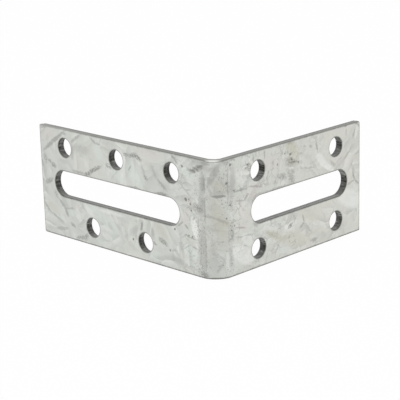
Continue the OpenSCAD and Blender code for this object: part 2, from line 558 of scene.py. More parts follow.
SMUDGES = [
    ((-62.2, 22.0), (-62.0, 20.0), 0.9, 0.42), ((-60.9, 20.5), (-60.1, 20.3), 0.7, 0.45),
    ((-59.3, 19.7), (-58.4, 19.4), 0.9, 0.60), ((-62.6, 14.1), (-59.6, 15.6), 0.9, 0.45),
    ((-58.8, 12.4), (-58.0, 10.8), 0.8, 0.36), ((-46.2, 18.9), (-44.2, 19.9), 0.8, 0.70),
    ((-45.2, 19.7), (-39.8, 22.3), 0.75, 0.70), ((-37.6, 23.2), (-36.3, 22.6), 0.9, 0.45),
    ((-52.9, 4.5), (-51.4, 3.8), 0.6, 0.50), ((-51.0, 0.8), (-47.0, 1.7), 0.7, 0.48),
    ((-47.2, 1.4), (-46.5, 2.5), 0.8, 0.52), ((-31.0, 26.9), (-29.2, 27.1), 0.6, 0.52),
    ((-28.8, 26.9), (-26.4, 27.6), 0.8, 0.60), ((-27.0, 27.5), (-24.8, 26.5), 0.8, 0.65),
    ((-23.5, 22.5), (-22.8, 22.0), 0.7, 0.45), ((-18.4, 21.6), (-15.4, 20.8), 0.9, 0.20),
    ((-19.4, 19.1), (-15.4, 19.1), 0.4, 0.50), ((-7.2, 26.6), (-3.2, 28.2), 0.9, 0.60),
    ((-8.4, 27.0), (-6.6, 26.6), 0.5, 0.55), ((-9.2, 29.4), (-3.4, 28.7), 0.6, 0.15),
    ((-6.2, 18.2), (-4.0, 17.2), 1.1, 0.55), ((-18.9, 7.1), (-16.4, 6.1), 0.9, 0.55),
    ((-21.2, 5.5), (-20.2, 5.4), 0.5, 0.50), ((-3.9, 1.4), (-2.2, 0.8), 0.9, 0.50),
    ((10.6, 26.8), (11.4, 26.2), 1.0, 0.60), ((22.2, 21.7), (24.2, 21.2), 1.2, 0.42),
    ((25.4, 22.4), (27.2, 19.3), 1.2, 0.42), ((24.8, 25.4), (27.4, 24.4), 1.2, 0.46),
    ((25.2, 7.6), (26.6, 8.3), 0.6, 0.72), ((4.2, 20.0), (4.4, 17.6), 0.9, 0.34),
    ((4.4, 13.6), (4.5, 9.6), 0.9, 0.22), ((-5.0, 9.6), (-4.4, 3.0), 0.9, 0.14),
    ((4.0, 8.4), (4.4, 1.6), 0.8, 0.16), ((11.7, 17.4), (13.4, 18.9), 0.5, 0.50),
    ((47.6, 29.7), (48.5, 29.9), 0.4, 0.60), ((25.8, 23.9), (27.2, 23.5), 0.7, 0.42),
    ((26.5, 22.4), (27.4, 21.8), 0.7, 0.40), ((24.6, 24.3), (25.4, 23.9), 0.6, 0.40),
    ((24.6, 27.6), (25.4, 27.0), 0.6, 0.35), ((-7.0, 18.0), (-4.4, 16.4), 1.0, 0.34),
]
# Shades are darker patches of the coat. The thin strokes that lie along the bottom edge are painted shadow
# where the bracket stands on the floor.
SHADES = [
    ((-50.2, 25.8), (-44.6, 25.6), 1.6, 0.24), ((-54.9, 28.9), (-53.4, 28.8), 0.5, 0.42),
    ((-39.0, 28.6), (-33.6, 28.0), 1.6, 0.14), ((-14.8, 3.3), (-10.2, 2.1), 1.4, 0.34),
    ((5.2, 27.2), (4.8, 20.8), 1.5, 0.36), ((29.4, 24.0), (30.4, 23.6), 0.7, 0.24),
    ((33.6, 2.4), (36.2, 1.0), 0.8, 0.22), ((-21.2, 25.2), (-18.6, 22.8), 1.5, 0.12),
    ((-63.6, 9.8), (-63.3, 8.2), 0.5, 0.28), ((-56.6, 21.4), (-53.0, 21.1), 0.9, 0.18),
    ((-51.0, 27.0), (-51.3, 22.6), 0.9, 0.40), ((-3.5, 26.4), (-3.6, 21.4), 1.1, 0.46),
    ((-3.9, 21.6), (-3.8, 16.2), 1.3, 0.40), ((-3.8, 16.5), (-3.7, -4.0), 1.3, 0.30),
    ((0.8, 24.8), (1.0, 21.8), 2.2, 0.12), ((-1.0, 8.0), (-0.6, 2.0), 2.0, 0.10),
    ((-4.0, 29.3), (-1.4, 29.1), 0.7, 0.45), ((1.0, 29.2), (4.0, 29.3), 0.8, 0.20),
    ((-2.6, 0.1), (3.2, 0.1), 0.5, 0.85), ((-52.0, 19.3), (-45.5, 19.2), 0.5, 0.45),
    ((-30.0, 18.9), (-25.0, 18.9), 0.35, 0.45), ((-20.5, 18.9), (-15.0, 18.9), 0.35, 0.40),
    ((14.0, 18.9), (29.0, 18.9), 0.35, 0.40), ((-0.6, 22.2), (3.2, 21.9), 0.9, 0.30),
    ((-4.4, 28.2), (-0.4, 27.9), 1.0, 0.26), ((4.5, 13.8), (4.4, 9.0), 1.2, 0.20),
    ((3.9, 8.6), (3.9, 2.0), 0.9, 0.18), ((-4.8, 6.6), (-4.9, 0.6), 1.1, 0.20),
    ((-62.8, 1.9), (-59.7, 1.5), 0.9, 0.14), ((-63.6, 29.4), (-61.0, 29.6), 0.4, 0.50),
    ((-63.6, 20.2), (-63.2, 18.8), 0.5, 0.36), ((-21.4, 9.2), (-21.2, 6.8), 0.8, 0.36),
    ((-29.6, 6.0), (-26.8, 8.6), 1.3, 0.28), ((-13.2, 5.4), (-12.2, 3.8), 0.8, 0.28),
    ((12.2, 11.9), (13.8, 10.8), 0.6, 0.32), ((12.6, 8.6), (14.2, 8.4), 0.7, 0.22),
    ((41.8, 21.6), (43.6, 20.2), 0.6, 0.32), ((3.8, 29.6), (5.8, 29.6), 0.4, 0.42),
    ((25.2, 29.6), (26.8, 29.5), 0.4, 0.42), ((12.8, 0.4), (14.8, 0.5), 0.4, 0.36),
    ((34.8, 0.5), (36.4, 0.4), 0.4, 0.34), ((-63.4, 0.6), (-62.4, 0.4), 0.4, 0.34),
    ((35.2, 29.2), (36.4, 28.8), 0.6, 0.26), ((13.6, 18.9), (15.2, 19.0), 0.4, 0.36),
    ((16.6, 21.0), (18.0, 20.7), 0.6, 0.24), ((-27.8, 6.4), (-27.0, 5.2), 0.7, 0.22),
]
PALE_LEAVES = [
    ((36.6, 24.1), (38.6, 23.0), 1.1, 0.55), ((37.4, 23.0), (40.4, 20.6), 1.2, 0.62),
    ((-6.9, 14.3), (-5.9, 10.4), 1.2, 0.95), ((46.5, 11.2), (53.2, 8.6), 2.8, 0.60),
    ((24.1, 8.5), (24.8, 7.7), 0.6, 0.55), ((5.6, 6.4), (10.6, 3.4), 2.6, 0.55),
    ((-46.8, 10.6), (-43.8, 8.2), 0.9, 0.40), ((2.9, 7.0), (2.9, 1.5), 0.7, 0.55),
    ((6.0, 26.0), (9.4, 23.6), 1.8, 0.30), ((-5.6, 9.0), (-5.4, 7.4), 0.6, 0.40),
    ((8.6, 9.2), (11.2, 7.2), 1.5, 0.42), ((52.8, 28.6), (52.1, 26.0), 0.6, 0.50),
    ((-50.2, 8.6), (-49.4, 6.2), 1.1, 0.42), ((-40.2, 4.0), (-37.2, 3.2), 1.0, 0.42),
    ((-42.0, 10.4), (-31.5, 10.4), 0.6, 0.50), ((8.6, 18.0), (10.4, 16.6), 1.2, 0.30),
    ((-6.5, 13.5), (-6.0, 12.0), 0.8, 0.95), ((4.3, 16.6), (4.7, 14.6), 0.7, 0.16),
    ((39.4, 20.9), (42.8, 19.2), 0.9, 0.80), ((-35.8, 9.8), (-34.4, 8.2), 0.8, 0.42),
    ((-32.4, 7.4), (-31.8, 5.8), 0.7, 0.30), ((51.8, 12.8), (52.8, 11.8), 0.8, 0.32),
    ((52.2, 5.2), (52.4, 3.6), 0.8, 0.32), ((6.4, 17.8), (7.4, 16.2), 0.9, 0.28),
    ((8.8, 28.6), (11.2, 28.0), 1.0, 0.35),
]
COOL_LEAVES = [
    ((-46.5, 10.2), (-37.0, 6.0), 2.8, 0.75), ((-38.5, 8.5), (-34.5, 3.0), 2.6, 0.70),
    ((-41.5, 27.0), (-40.0, 24.8), 1.8, 0.60), ((-29.0, 24.4), (-26.0, 20.6), 2.4, 0.85),
    ((-36.0, 22.6), (-31.0, 20.0), 1.8, 0.70), ((-10.5, 26.6), (-6.8, 25.4), 1.5, 0.90),
    ((-9.8, 6.6), (-5.8, 5.0), 1.8, 0.95), ((-10.0, 3.2), (-5.6, 2.2), 1.2, 0.70),
    ((-60.5, 8.0), (-55.0, 4.6), 1.3, 0.60), ((-55.0, 8.4), (-50.5, 7.0), 1.2, 0.60),
    ((50.5, 9.5), (52.6, 6.0), 1.8, 0.60), ((20.6, 3.2), (25.0, 1.6), 1.2, 0.70),
    ((-43.0, 3.6), (-39.6, 0.8), 1.6, 0.60), ((-24.0, 3.0), (-16.0, 1.6), 1.6, 0.55),
]
WARM_LEAVES = [
    ((-10.6, 12.4), (-8.4, 16.6), 1.6, 0.60), ((6.2, 12.4), (10.0, 11.6), 1.0, 0.80),
    ((10.6, 21.4), (16.2, 20.8), 1.2, 0.80), ((9.8, 19.8), (13.6, 18.8), 1.4, 0.75),
    ((-9.6, 19.6), (-6.4, 17.4), 1.4, 0.60), ((-62.8, 27.6), (-58.0, 28.4), 2.2, 0.50),
    ((-26.0, 28.8), (-17.0, 28.2), 1.6, 0.50), ((16.0, 27.0), (22.0, 25.0), 2.6, 0.45),
    ((-51.5, 9.6), (-48.6, 9.2), 1.0, 0.50), ((44.0, 21.6), (50.0, 19.8), 1.6, 0.40),
    ((6.2, 18.6), (10.8, 13.6), 2.4, 0.55),
]
STAINS = [
    ((25.6, 29.4), (28.2, 26.3), 2.0, 0.60), ((16.4, 8.6), (24.4, 4.6), 1.3, 0.50),
    ((-20.0, 10.6), (-16.0, 8.2), 2.2, 0.22), ((-0.2, 24.4), (2.0, 22.4), 1.7, 0.34),
    ((0.2, 15.2), (4.0, 13.4), 1.3, 0.42), ((25.0, 25.2), (28.6, 24.2), 1.4, 0.50),
    ((23.6, 5.4), (32.0, 2.6), 2.4, 0.34), ((-61.8, 8.4), (-57.6, 6.6), 1.4, 0.34),
    ((-0.4, 20.0), (1.8, 10.0), 2.4, 0.34), ((-46.0, 29.0), (-43.0, 23.0), 2.6, 0.06),
    ((30.0, 10.4), (36.0, 8.0), 2.0, 0.22), ((-52.0, 24.0), (-46.0, 20.6), 2.0, 0.06),
]
PITS = [
    ((-10.2, 27.4), 0.40), ((-9.2, 19.1), 0.50), ((-8.1, 19.4), 0.26), ((-7.6, 18.2), 0.28),
    ((-7.4, 16.6), 0.28), ((-8.4, 10.1), 0.26), ((-7.2, 9.9), 0.28), ((-13.2, 10.8), 0.34),
    ((-15.2, 4.8), 0.36), ((4.2, 28.3), 0.46), ((2.9, 24.1), 0.40), ((5.4, 21.7), 0.26),
    ((4.0, 18.5), 0.32), ((2.7, 15.4), 0.28), ((5.4, 12.9), 0.32), ((4.3, 11.9), 0.24),
    ((21.3, 24.9), 0.28), ((26.0, 26.6), 0.36), ((26.6, 25.2), 0.40), ((27.6, 24.4), 0.34),
    ((29.2, 24.0), 0.26), ((24.2, 27.2), 0.24), ((10.4, 27.2), 0.30), ((9.7, 26.6), 0.26),
    ((-28.6, 5.0), 0.34),
]
PIT_STRENGTH = 0.7
STROKE_DEPTH = 5


def strokes(strip, marks, firmness):
    """How strongly the marks of one list cover a point of the strip. Firm strokes have a crisper edge."""
    cover = None
    for start, end, width, strength in marks:
        line = Vector(end) - Vector(start)
        middle = (Vector(start) + Vector(end)) / 2
        sockets = {
            "Vector": strip,
            "Location": (*middle, 0),
            "Rotation": (0, 0, math.atan2(line.y, line.x)),
            "Scale": (line.length / 2 + width, width, STROKE_DEPTH),
        }
        local = strip.node("ShaderNodeMapping", {"vector_type": "TEXTURE"}, sockets)
        gradient = {"gradient_type": "SPHERICAL"}
        ball = local.node("ShaderNodeTexGradient", gradient, {"Vector": local}, out="Fac")
        mark = (ball * (firmness * strength)).smaller(strength)
        cover = mark if cover is None else cover.larger(mark)
    return cover


mark_lists = (VEINS, SMUDGES, SHADES, PALE_LEAVES, COOL_LEAVES, WARM_LEAVES, STAINS, PITS)
print("Marks:", sum(len(marks) for marks in mark_lists))

# %% [markdown]
# ## Spangled zinc
#
# As molten zinc freezes on the sheet it grows flat crystals, each with its own direction, so each catches
# the light a little differently. A picture of them would repeat, so they are drawn by textures instead. A
# Voronoi texture gives the crystals: its random colour turns a second, stretched Voronoi to each crystal's
# own direction, which makes the long leaves of a frost flower. A leaf is shaded from one side to the
# other, so that its edge shows as a step of tone and no outline is needed. The third number of the strip's
# coordinates is the depth, which is stretched so that the inner face gets other crystals.

# %% Lay out the crystals
DEPTH_STRETCH = 20
NOISE_MIDDLE = 0.5
WAVES_PER_MM = 0.22
WAVE_SIZE = 2.2
SHIVERS_PER_MM = 1.6
SHIVER_SIZE = 0.9
CRYSTALS_PER_MM = 0.10
LEAF_LENGTH = 9.0
LEAF_WIDTH = 2.6
ACROSS_LEAF = (-0.5, 0.5)
SHADE_ACROSS_LEAF = 0.6
SHADE_OF_LEAF = 0.4
FEATHERS_PER_MM = (0.25, 2.4, 0.25)
CLEAR_PATCH = (0.35, 0.65)


def pushed_about(strip, per_mm, size):
    """The strip's coordinates moved by a soft noise, so that what is drawn on them isn't straight."""
    push = strip.noise(per_mm, detail=3, out="Color").vector("SUBTRACT", (NOISE_MIDDLE,) * 3)
    return strip.vector("ADD", push.vector("MULTIPLY", (size, size, 0)))


zinc, zinc_shader, zinc_start = new_finish("galvanised_zinc")
place = zinc_start.node("ShaderNodeAttribute", {"attribute_name": "flat_strip"}, out="Vector")
strip = place.vector("MULTIPLY", (1 / MM, 1 / MM, DEPTH_STRETCH / MM))
along = strip.part("X")
up_strip = strip.part("Y")
wavy = pushed_about(strip, WAVES_PER_MM, WAVE_SIZE)
ragged = pushed_about(strip, SHIVERS_PER_MM, SHIVER_SIZE)

crystal = wavy.cells(CRYSTALS_PER_MM)
crystal_tone = crystal.part("X")
crystal_warmth = crystal.part("Y")
turning = {"Vector": wavy, "Angle": crystal.part("Z") * (2 * math.pi)}
turned = wavy.node("ShaderNodeVectorRotate", {"rotation_type": "Z_AXIS"}, turning)
lance = turned.vector("MULTIPLY", (1 / LEAF_LENGTH, 1 / LEAF_WIDTH, 1 / LEAF_LENGTH))
leaf_tone = lance.cells(scale=1.0).part("X")
across_leaf = lance.vector("SUBTRACT", lance.cells(scale=1.0, out="Position")).part("Y")
leaf_shade = across_leaf.ramp(*ACROSS_LEAF) * SHADE_ACROSS_LEAF + leaf_tone * SHADE_OF_LEAF
feather = turned.vector("MULTIPLY", FEATHERS_PER_MM).noise(scale=1.0, detail=4, roughness=0.6)
clear_leaf = strip.noise(scale=0.13).ramp(*CLEAR_PATCH)
print("Crystals, in mm:", round(1 / CRYSTALS_PER_MM), "across, with leaves of", (LEAF_LENGTH, LEAF_WIDTH))

# %% [markdown]
# ## Wear round the bend
#
# Folding works the coat hardest in the bend and out over the short leg, so the surface is busiest there:
# fine crazing, dust in the two creases where the bend meets the legs, and specks where the coat has
# broken. Weight painting could mark those places, but they follow from the fold, so each kind is a noise
# or a Voronoi that ramps along the strip keep to its place. A wire says where one kind of wear shows, from
# 0 to 1. The pairs of numbers are where it begins and where it is full, in millimetres or in the
# brightness of a noise.

# %% Work the coat round the bend
BEND_SIDE = bend_half / MM
IN_BEND = (BEND_SIDE + 0.5, BEND_SIDE - 0.6)
NEAR_CREASE = (3.2, 0.8)
WORKED_LONG_LEG = (-18, -6)
WORKED_SHORT_LEG = (52, 14)
WORKED_PATCH = (0.3, 0.6)

mottle = strip.noise(scale=0.75, detail=5, roughness=0.62)
grain = strip.noise(scale=2.4, detail=3, roughness=0.7)
dust = strip.noise(scale=3.6, roughness=0.8)
cloud = strip.noise(scale=0.09, detail=3)

from_middle = along.distance(0)
from_crease = from_middle.distance(BEND_SIDE)
in_bend = from_middle.ramp(*IN_BEND)
near_crease = from_crease.ramp(*NEAR_CREASE)
worked_length = along.ramp(*WORKED_LONG_LEG) * along.ramp(*WORKED_SHORT_LEG)
worked = worked_length * strip.noise(scale=0.2).ramp(*WORKED_PATCH)
print("Creases, in mm from the middle of the bend:", round(BEND_SIDE, 2))

# %% Break the coat
CRACK_WIDTH = (0.07, 0.0)
CRACK_BREAKS = (0.35, 0.5)
BROKEN_PATCH = (0.42, 0.56)
AROUND_CREASE = (5.0, 0.8)
SPECKS_PER_MM = 1.7
SPECK_SIZE = (0.36, 0.16)
SPECKS_MISSING = 0.35

cracks = ragged.cells(scale=0.5, feature="DISTANCE_TO_EDGE", out="Distance").ramp(*CRACK_WIDTH)
crazing = cracks * strip.noise(scale=0.25).ramp(*BROKEN_PATCH) * grain.ramp(*CRACK_BREAKS)
speck_there = strip.cells(SPECKS_PER_MM).part("X") > SPECKS_MISSING
speck = strip.cells(SPECKS_PER_MM, out="Distance").ramp(*SPECK_SIZE) * speck_there
specks = speck * from_crease.ramp(*AROUND_CREASE) * strip.noise(scale=0.3).ramp(*BROKEN_PATCH)
print("Nodes after wear:", len(zinc.node_tree.nodes))

# %% [markdown]
# ## Edges of the coat
#
# Grime gathers along every cut edge, and a dark line runs along every edge of the coat. A bevel or
# occlusion node could find the edges while rendering, but the distance that each point noted on the flat
# strip is exact and stays with the mesh. A noise makes the line wander and break. It is widest along the
# bottom edge, where the extra width is a painted contact shadow, and at the far end of the top edge the
# coat was smeared over it.

# %% Darken the edges of the coat
TOP = strip_w / MM
GRIME_WIDTH = (0.5, 0.15)
GRIME_WANDER = 0.6
LINE_WIDTH = (0.50, 0.26)
LINE_WANDER = 0.3
LINE_BREAKS = (0.35, 0.6)
LINE_FAINTEST = 0.6
ABOVE_BOTTOM = (0.6, 1.4)
THINNER_ABOVE_BOTTOM = 0.14
TOP_EDGE = (TOP - 0.7, TOP - 0.4)
THINNER_AT_TOP = 0.04
SMEARED_END = (-34, -60)
LINE_SMEARED = 0.55

edge = zinc_start.node("ShaderNodeAttribute", {"attribute_name": "from_edge"}, out="Fac") * (1 / MM)
wander = grain - NOISE_MIDDLE
edge_grime = (edge + wander * GRIME_WANDER).ramp(*GRIME_WIDTH)
at_top = up_strip.ramp(*TOP_EDGE)
smeared = along.ramp(*SMEARED_END) * at_top
# Above the bottom the line is thinner, so it is widest along the bottom edge, where it is painted contact
# shadow.
thinner = up_strip.ramp(*ABOVE_BOTTOM) * THINNER_ABOVE_BOTTOM + at_top * THINNER_AT_TOP
line_tone = LINE_FAINTEST + mottle.ramp(*LINE_BREAKS) * (1 - LINE_FAINTEST)
edge_line_and_shadow = (edge + thinner + wander * LINE_WANDER).ramp(*LINE_WIDTH)
edge_line_and_shadow = edge_line_and_shadow * line_tone * (1 - smeared * LINE_SMEARED)
print("Nodes after the edges:", len(zinc.node_tree.nodes))

# %% [markdown]
# ## Marks as wires
#
# A stroke by itself would look drawn with a pen. So the strokes are laid on the shivering coordinates,
# which fray their outlines, and some are broken up by the same noises as the coat around them. Firmness
# says how soon a stroke reaches its full strength from the outline inwards.

# %% Place the marks
VEIN_BREAKS = (0.2, 0.45)
VEIN_STRENGTH = 1.2
SMUDGE_BREAKS = (0.36, 0.54)
SMUDGE_STRENGTH = 1.25
PALE_BREAKS = (0.95, 0.50)

veins = strokes(ragged, VEINS, firmness=2.2) * mottle.ramp(*VEIN_BREAKS) * VEIN_STRENGTH
smudges = strokes(ragged, SMUDGES, firmness=1.8) * grain.ramp(*SMUDGE_BREAKS) * SMUDGE_STRENGTH
shades = strokes(ragged, SHADES, firmness=1.6)
pale = strokes(ragged, PALE_LEAVES, firmness=3.0) * mottle.ramp(*PALE_BREAKS)
cool = strokes(ragged, COOL_LEAVES, firmness=2.4)
warm = strokes(ragged, WARM_LEAVES, firmness=1.8)
stains = strokes(ragged, STAINS, firmness=2.0)
pits = strokes(ragged, [(spot, spot, size, PIT_STRENGTH) for spot, size in PITS], firmness=2.4)
print("Nodes after the marks:", len(zinc.node_tree.nodes))

# %% [markdown]
# ## Layers of zinc
#
# The colour of the coat could be one long chain of Mix nodes. As a list of layers it reads from the bottom
# up, like coats of paint: the tints of the crystals first, then their leaves and the fine grain, then
# stains and wear, and the dark marks last. Each grain has a dark and a pale side, given as where it begins
# and where it is full in the brightness of its noise.

# %% Choose the tints of zinc
ZINC_COOL = (0.640, 0.662, 0.625, 1)
ZINC_WARM = (0.690, 0.685, 0.638, 1)
ZINC_DARK = (0.270, 0.270, 0.255, 1)
ZINC_PALE = (0.830, 0.840, 0.810, 1)
ZINC_GREENISH = (0.705, 0.742, 0.702, 1)
ZINC_PINKISH = (0.690, 0.655, 0.620, 1)
ZINC_STAIN = (0.550, 0.535, 0.430, 1)
EDGE_DARK = (0.140, 0.140, 0.131, 1)
PIT_DARK = (0.100, 0.095, 0.090, 1)
print("Zinc, from", ZINC_DARK[:3], "to", ZINC_PALE[:3])

# %% Stack the layers of zinc
WARMER_LENGTH = (-40, 50)
LEAF_LIGHT, LEAF_DARK = (0.5, 0.95), (0.5, 0.05)
CRYSTAL_LIGHT, CRYSTAL_DARK = (0.6, 1.0), (0.4, 0.0)
FEATHER_DARK = (0.55, 0.8)
MOTTLE_PALE, MOTTLE_DARK = (0.5, 0.2), (0.5, 0.85)
GRAIN_PALE, GRAIN_DARK = (0.45, 0.2), (0.55, 0.8)
DUST_PALE, DUST_DARK = (0.44, 0.25), (0.54, 0.72)
# How much darker the bend is: partly a duller coat, partly a painted darker reflection.
BEND_DULL_AND_SHADE = 0.13
CRAZING_LOST_IN_BEND = 0.6
SPECK_STRENGTH = 0.55


def worn(fresh, added):
    """A share of a fresh sheet, and what the worked zone adds to it."""
    return fresh + worked * added


# The coat warms from the long leg to the short leg: a painted tint of warmer light on the short leg, added to
# each crystal's own warmth.
warmth_and_light_tint = weighted(0, [(crystal_warmth, 0.5), (along.ramp(*WARMER_LENGTH), 0.5)])
light_side = leaf_shade.ramp(*LEAF_LIGHT) * clear_leaf
dark_side = leaf_shade.ramp(*LEAF_DARK) * clear_leaf
crazed = crazing * (1 - in_bend * CRAZING_LOST_IN_BEND) * (1 - pale)
zinc_layers = [
    Layer(ZINC_WARM, warmth_and_light_tint),
    Layer(ZINC_GREENISH, cool),
    Layer(ZINC_PINKISH, warm),
    Layer(ZINC_PALE, weighted(0, [(light_side, 0.55), (crystal_tone.ramp(*CRYSTAL_LIGHT), 0.15)])),
    Layer(ZINC_DARK, weighted(0, [(dark_side, 0.26), (crystal_tone.ramp(*CRYSTAL_DARK), 0.08)])),
    Layer(ZINC_DARK, feather.ramp(*FEATHER_DARK), share=0.12),
    Layer(ZINC_DARK, mottle.ramp(*MOTTLE_DARK), share=worn(fresh=0.16, added=0.24)),
    Layer(ZINC_PALE, mottle.ramp(*MOTTLE_PALE), share=worn(fresh=0.10, added=0.30)),
    Layer(ZINC_DARK, grain.ramp(*GRAIN_DARK), share=worn(fresh=0.06, added=0.35)),
    Layer(ZINC_PALE, grain.ramp(*GRAIN_PALE), share=worn(fresh=0.06, added=0.35)),
    Layer(ZINC_DARK, dust.ramp(*DUST_DARK) * near_crease, share=0.6),
    Layer(ZINC_PALE, dust.ramp(*DUST_PALE) * near_crease, share=0.6),
    Layer(ZINC_PALE, pale),
    Layer(ZINC_STAIN, stains),
    # The bend is darker: partly a duller coat, partly a painted darker reflection of the surroundings in
    # front of it.
    Layer(ZINC_DARK, in_bend * BEND_DULL_AND_SHADE + shades),
    Layer(ZINC_DARK, edge_grime, share=0.40),
    Layer(EDGE_DARK, edge_line_and_shadow, share=0.8),
    Layer(ZINC_DARK, crazed, share=worn(fresh=0.08, added=0.46)),
    Layer(ZINC_DARK, veins),
    Layer(ZINC_DARK, smudges),
    Layer(PIT_DARK, pits.larger(specks * SPECK_STRENGTH)),
]
zinc_colour = layered(ZINC_COOL, zinc_layers)
print("Layers of zinc:", len(zinc_layers))

# %% [markdown]
# ## Sheen and relief
#
# Old zinc is a dulled metal: mostly metallic, rather rough, and rougher where it was handled or bent. Its
# crystals stand a few hundredths of a millimetre proud of each other. Real displacement would need a far
# finer mesh for that, so a Bump node only tilts the light on them.

# %% Finish the zinc
ZINC_ROUGHNESS = 0.40
ZINC_METALLIC = 0.75
ZINC_BUMP = 0.25
ZINC_RELIEF = 0.05 * MM

rougher = [(crystal_tone, 0.10), (cloud, 0.08), (smudges, 0.15), (in_bend, 0.06)]
raised = [(leaf_shade, 0.6), (crystal_tone, 0.3), (mottle, 0.3), (grain, 0.1)]
sunk = [(veins, -0.5), (pits, -1.0), (specks, -1.0)]
zinc_roughness = weighted(ZINC_ROUGHNESS, rougher)
zinc_relief = weighted(0, raised + sunk).bump(ZINC_BUMP, ZINC_RELIEF)
feed(zinc_shader, Base_Color=zinc_colour, Roughness=zinc_roughness, Metallic=ZINC_METALLIC,
     Normal=zinc_relief)
sheet_mesh.materials.append(zinc)
print("Zinc finish:", len(zinc.node_tree.nodes), "nodes")

# %% [markdown]
# ## Bare cut edges
#
# The strip was slit from a coil and its openings were punched, so the edges are bare steel. A slit edge is
# an even grey. The wall of a punched opening is darker, partly as bare steel and partly as painted shade
# inside the openings, and has scores through the sheet, where the punch rubbed it and then tore it. On both
# finishes the level stretches are painted lighter, as painted light from the sky and the floor. Writing the
# two finishes out one by one would repeat most of the work, so one function makes both, each from its own
# set of greys.

# %% Choose the greys of bare steel
# The level grey is painted light: stretches of a cut edge that face up or down are lighter, as if lit by the
# sky and the floor.
Steel = namedtuple("Steel", "even level dark bright scoring smear")
SLIT_STEEL = Steel(
    even=(0.222, 0.223, 0.208, 1),
    level=(0.226, 0.227, 0.212, 1),
    dark=(0.142, 0.142, 0.132, 1),
    bright=(0.380, 0.380, 0.360, 1),
    scoring=0.3,
    smear=0.30,
)
# The punched wall's greys are bare steel made darker by painted shade inside the openings.
PUNCHED_STEEL_AND_SHADE = Steel(
    even=(0.088, 0.088, 0.082, 1),
    level=(0.218, 0.218, 0.206, 1),
    dark=(0.030, 0.030, 0.028, 1),
    bright=(0.420, 0.420, 0.400, 1),
    scoring=0.9,
    smear=0.0,
)
STEEL_POLISHED_HIGHLIGHT = (0.800, 0.800, 0.780, 1)
print("Bare steel, slit and punched:", SLIT_STEEL.even[:3], PUNCHED_STEEL_AND_SHADE.even[:3])

# %% [markdown]
# ## Places on a cut edge
#
# At the top of the bend the stretched skin has been polished, and a painted highlight makes it bright. At
# the far end of the long leg the shears dragged some zinc over the edge. On the short leg the walls that face
# partly downwards get a painted glint, a highlight painted in place of the floor's reflection. Each could be
# a face with a material of its own, but these places have soft borders. The place and the depth that the
# points noted on the flat strip tell a finish where in the sheet it is.

# %% Read a cut edge
SCORES_PER_MM = (2.2, 2.2, 0.25)
UPPER_HALF = (10, 20)
Cut = namedtuple("Cut", "along depth upper facing_up scores patches grit")


def read_cut(start):
    """Where a point of a cut edge lies, which way it faces, and the patterns that run over it."""
    place = start.node("ShaderNodeAttribute", {"attribute_name": "flat_strip"}, out="Vector")
    cut = place.vector("MULTIPLY", (1 / MM, 1 / MM, 1 / MM))
    return Cut(
        along=cut.part("X"),
        depth=cut.part("Z"),
        upper=cut.part("Y").ramp(*UPPER_HALF),
        facing_up=start.node("ShaderNodeTexCoord", out="Normal").part("Z"),
        scores=cut.vector("MULTIPLY", SCORES_PER_MM).noise(scale=1.0, detail=4, roughness=0.65),
        patches=cut.noise(scale=0.45),
        grit=cut.noise(scale=3.0, detail=4, roughness=0.75),
    )


# %% Find the places on a cut edge
POLISH_AND_HIGHLIGHT_MIDDLE = -0.5
POLISHED_HIGHLIGHT_LENGTH, POLISHED_HIGHLIGHT_DEPTH = (2.8, 0.3), (1.1, 0.5)
STRETCHED_LENGTH, STRETCHED_FROM, STRETCHED_TO = (10.0, 2.0), (0.2, 0.5), (1.7, 1.2)
SMEARED_DEPTH = (0.42, 0.22)
ROLLED_OVER_END, ROLLED_OVER_DEPTH = (-58, -63), (0.9, 1.3)
GLINT_STEEPEST, GLINT_FLATTEST = (-0.75, -0.55), (-0.15, -0.40)
GLINT_SHORT_LEG = (0, 5)


def polished_skin_highlight(cut):
    """The polished rim at the top of the bend, brightened by a painted highlight."""
    length = cut.along.distance(POLISH_AND_HIGHLIGHT_MIDDLE).ramp(*POLISHED_HIGHLIGHT_LENGTH)
    return length * cut.depth.ramp(*POLISHED_HIGHLIGHT_DEPTH) * cut.upper


def stretched_skin(cut):
    """The paler band beside the bright rim, which reaches further along the legs."""
    length = cut.along.distance(POLISH_AND_HIGHLIGHT_MIDDLE).ramp(*STRETCHED_LENGTH)
    return length * cut.depth.ramp(*STRETCHED_FROM) * cut.depth.ramp(*STRETCHED_TO) * cut.upper


def dragged_zinc(cut):
    """Zinc on the top edge of the long leg: smeared beside the outer face, and rolled over at the far end."""
    smeared = cut.along.ramp(*SMEARED_END) * cut.depth.ramp(*SMEARED_DEPTH)
    rolled_over = cut.along.ramp(*ROLLED_OVER_END) * cut.depth.ramp(*ROLLED_OVER_DEPTH)
    return (smeared + rolled_over) * cut.upper


def painted_glint_wall(cut):
    """Walls of the short leg's openings that face partly downwards, where a painted glint stands for the
    floor's reflection.
    """
    slope = cut.facing_up.ramp(*GLINT_STEEPEST) * cut.facing_up.ramp(*GLINT_FLATTEST)
    return slope * cut.along.ramp(*GLINT_SHORT_LEG)


# %% Make the two finishes of bare steel
TORN_BELOW = (BURNISH / MM - 0.1, BURNISH / MM + 0.5)
TORN_WANDER = 1.2
SCORING_LOST_ON_LEVEL = 0.85
SCORE_DARK, SCORE_BRIGHT, SCORE_GLINT = (0.48, 0.58), (0.42, 0.34), (0.58, 0.46)
PATCH_DARK = (0.48, 0.65)
PATCH_SHARE = 0.12
PATCH_SHARE_IN_SCORES = 0.4
GRIT_DARK, GRIT_BRIGHT = (0.55, 0.75), (0.42, 0.25)
STEEL_ROUGHNESS = 0.42
STEEL_METALLIC = 0.7
STEEL_BUMP = 0.4
STEEL_RELIEF = 0.06 * MM


